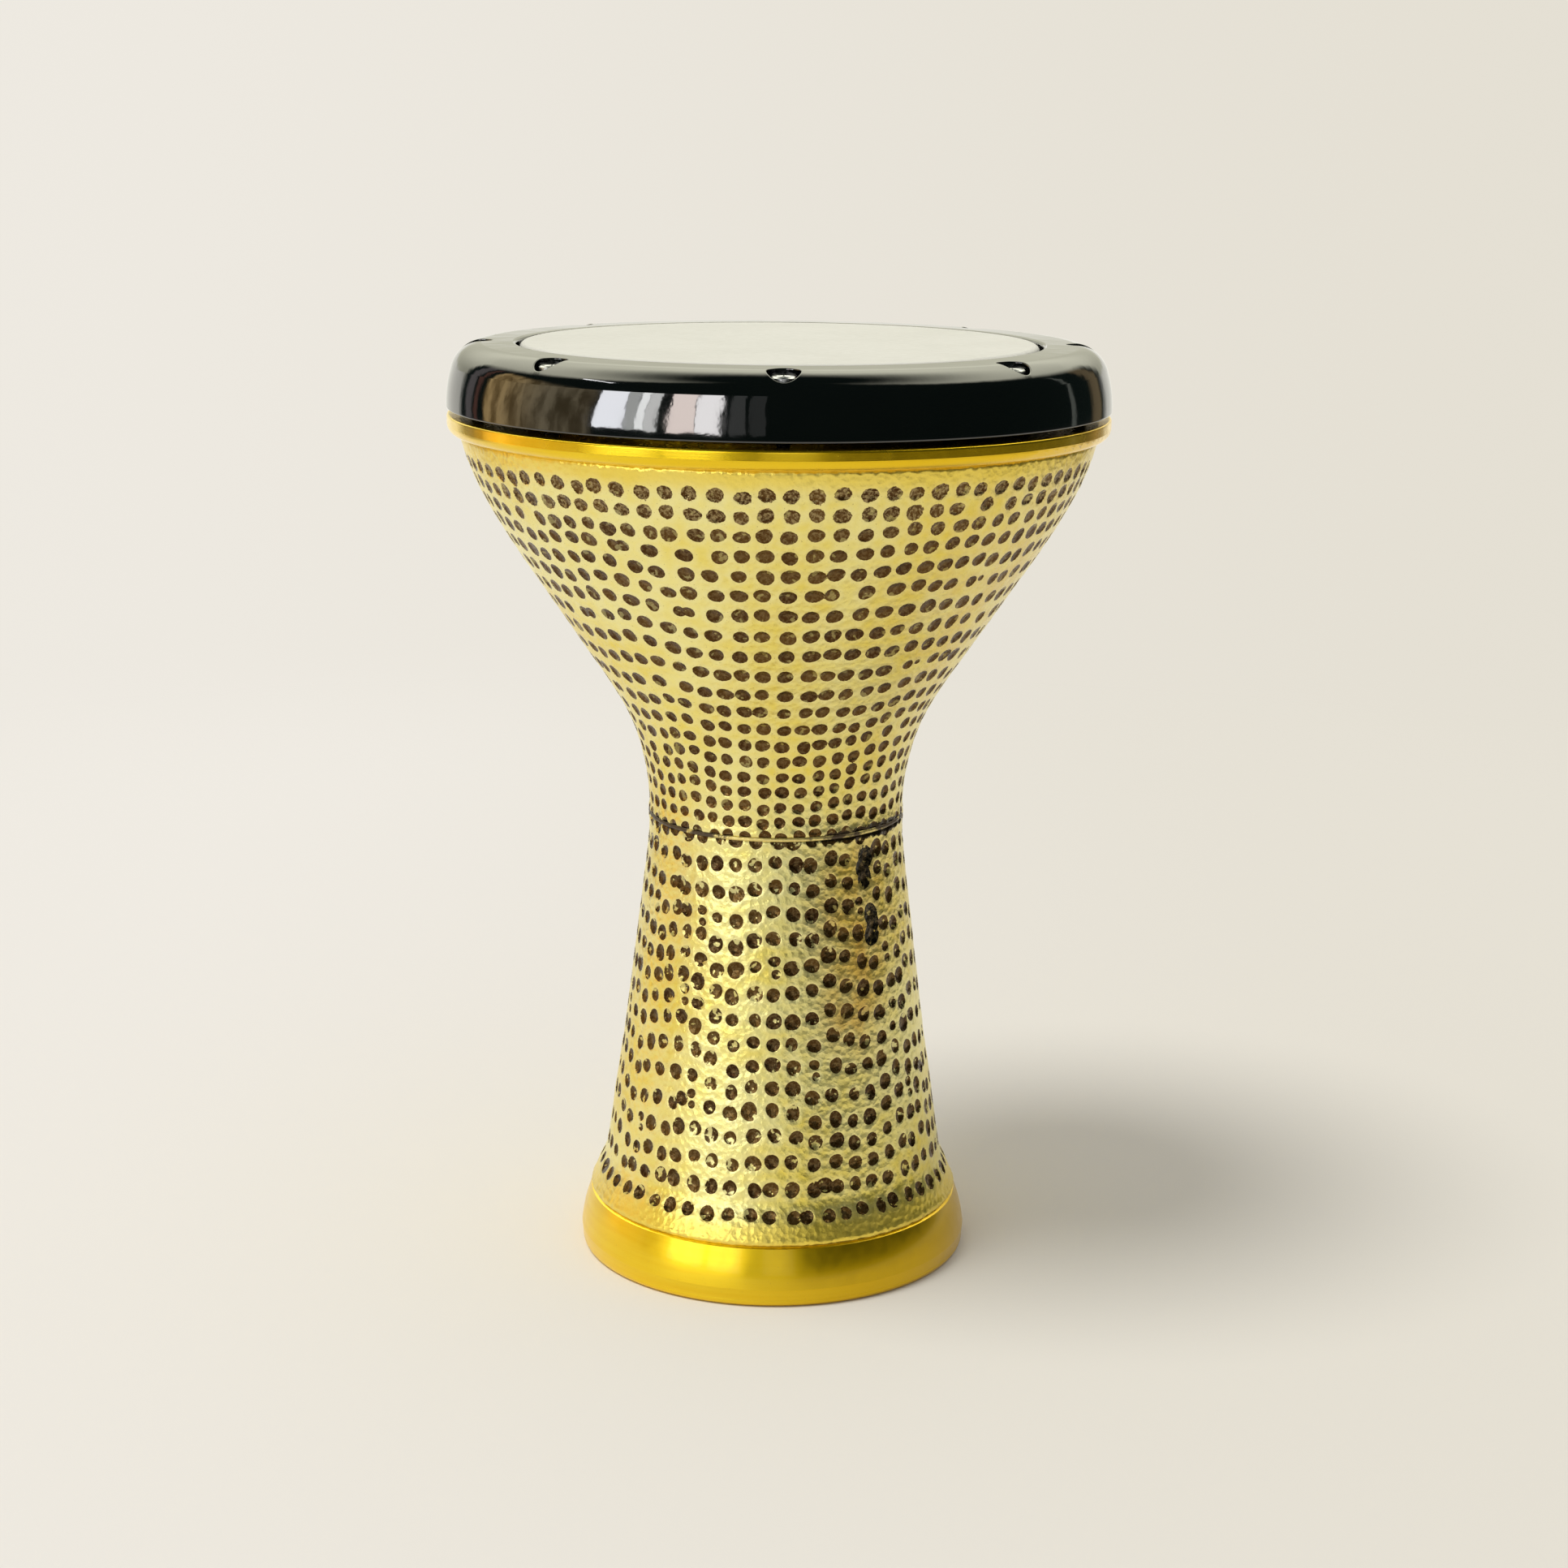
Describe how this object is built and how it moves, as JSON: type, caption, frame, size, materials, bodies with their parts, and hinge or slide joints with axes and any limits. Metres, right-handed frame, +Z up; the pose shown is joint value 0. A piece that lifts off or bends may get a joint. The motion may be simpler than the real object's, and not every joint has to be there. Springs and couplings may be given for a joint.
{
  "type": "goblet drum",
  "caption": "Goblet-shaped hand drum with a hammered metal body, a film drumhead and a rounded rim drawn down by recessed socket screws.",
  "frame": {"origin": "centre of the foot's resting face, on the drum's axis", "axes": "+Z up along the drum's axis towards the drumhead; -Y towards the front, where the first tension screw is"},
  "size_m": [0.28, 0.28, 0.3993],
  "materials": {
    "gold_bowl": "polished gold-coloured plate, hammered",
    "gold_stem": "polished gold-coloured plate, hammered",
    "gold_collar": "polished gold-coloured plate, smooth",
    "gold_foot": "polished gold-coloured plate, smooth",
    "gold_seam": "weld bead, plated over",
    "black_rim": "gloss black lacquer",
    "white_film": "white polyester film, satin",
    "hoop_metal": "drawn, bare",
    "resin": "cast resin",
    "screw_steel": "zinc-plated",
    "washer_steel": "zinc-plated"
  },
  "bodies": {
    "drum": {"bowl_shell": "gold_bowl", "stem_shell": "gold_stem", "neck_weld_bead": "gold_seam", "foot_ring": "gold_foot", "collar_ring": "gold_collar", "drumhead_film": "white_film", "drumhead_hoop": "hoop_metal", "drumhead_resin": "resin"},
    "rim": {"tension_rim": "black_rim", "screw_washer_1": "washer_steel", "screw_washer_2": "washer_steel", "screw_washer_3": "washer_steel", "screw_washer_4": "washer_steel", "screw_washer_5": "washer_steel", "screw_washer_6": "washer_steel", "screw_washer_7": "washer_steel", "screw_washer_8": "washer_steel"},
    "screw_1": {"tension_screw_1": "screw_steel"},
    "screw_2": {"tension_screw_2": "screw_steel"},
    "screw_3": {"tension_screw_3": "screw_steel"},
    "screw_4": {"tension_screw_4": "screw_steel"},
    "screw_5": {"tension_screw_5": "screw_steel"},
    "screw_6": {"tension_screw_6": "screw_steel"},
    "screw_7": {"tension_screw_7": "screw_steel"},
    "screw_8": {"tension_screw_8": "screw_steel"}
  },
  "joints": [
    {"name": "rim_travel", "type": "slide", "parent": "drum", "child": "rim", "axis": [0, 0, 1], "range_m": [0, 0.008]},
    {"name": "screw_1_turn", "type": "hinge", "parent": "rim", "child": "screw_1", "pos_m": [0, -0.1273, 0.3966], "axis": [0, 0, 1], "range_deg": [0, 2880]},
    {"name": "screw_2_turn", "type": "hinge", "parent": "rim", "child": "screw_2", "pos_m": [0.09001, -0.09001, 0.3966], "axis": [0, 0, 1], "range_deg": [0, 2880]},
    {"name": "screw_3_turn", "type": "hinge", "parent": "rim", "child": "screw_3", "pos_m": [0.1273, 0, 0.3966], "axis": [0, 0, 1], "range_deg": [0, 2880]},
    {"name": "screw_4_turn", "type": "hinge", "parent": "rim", "child": "screw_4", "pos_m": [0.09001, 0.09001, 0.3966], "axis": [0, 0, 1], "range_deg": [0, 2880]},
    {"name": "screw_5_turn", "type": "hinge", "parent": "rim", "child": "screw_5", "pos_m": [0, 0.1273, 0.3966], "axis": [0, 0, 1], "range_deg": [0, 2880]},
    {"name": "screw_6_turn", "type": "hinge", "parent": "rim", "child": "screw_6", "pos_m": [-0.09001, 0.09001, 0.3966], "axis": [0, 0, 1], "range_deg": [0, 2880]},
    {"name": "screw_7_turn", "type": "hinge", "parent": "rim", "child": "screw_7", "pos_m": [-0.1273, 0, 0.3966], "axis": [0, 0, 1], "range_deg": [0, 2880]},
    {"name": "screw_8_turn", "type": "hinge", "parent": "rim", "child": "screw_8", "pos_m": [-0.09001, -0.09001, 0.3966], "axis": [0, 0, 1], "range_deg": [0, 2880]}
  ],
  "couplings": [
    {"joint": "screw_1_turn", "follows": "rim_travel", "rad_per_m": 6283.2},
    {"joint": "screw_2_turn", "follows": "rim_travel", "rad_per_m": 6283.2},
    {"joint": "screw_3_turn", "follows": "rim_travel", "rad_per_m": 6283.2},
    {"joint": "screw_4_turn", "follows": "rim_travel", "rad_per_m": 6283.2},
    {"joint": "screw_5_turn", "follows": "rim_travel", "rad_per_m": 6283.2},
    {"joint": "screw_6_turn", "follows": "rim_travel", "rad_per_m": 6283.2},
    {"joint": "screw_7_turn", "follows": "rim_travel", "rad_per_m": 6283.2},
    {"joint": "screw_8_turn", "follows": "rim_travel", "rad_per_m": 6283.2}
  ]
}
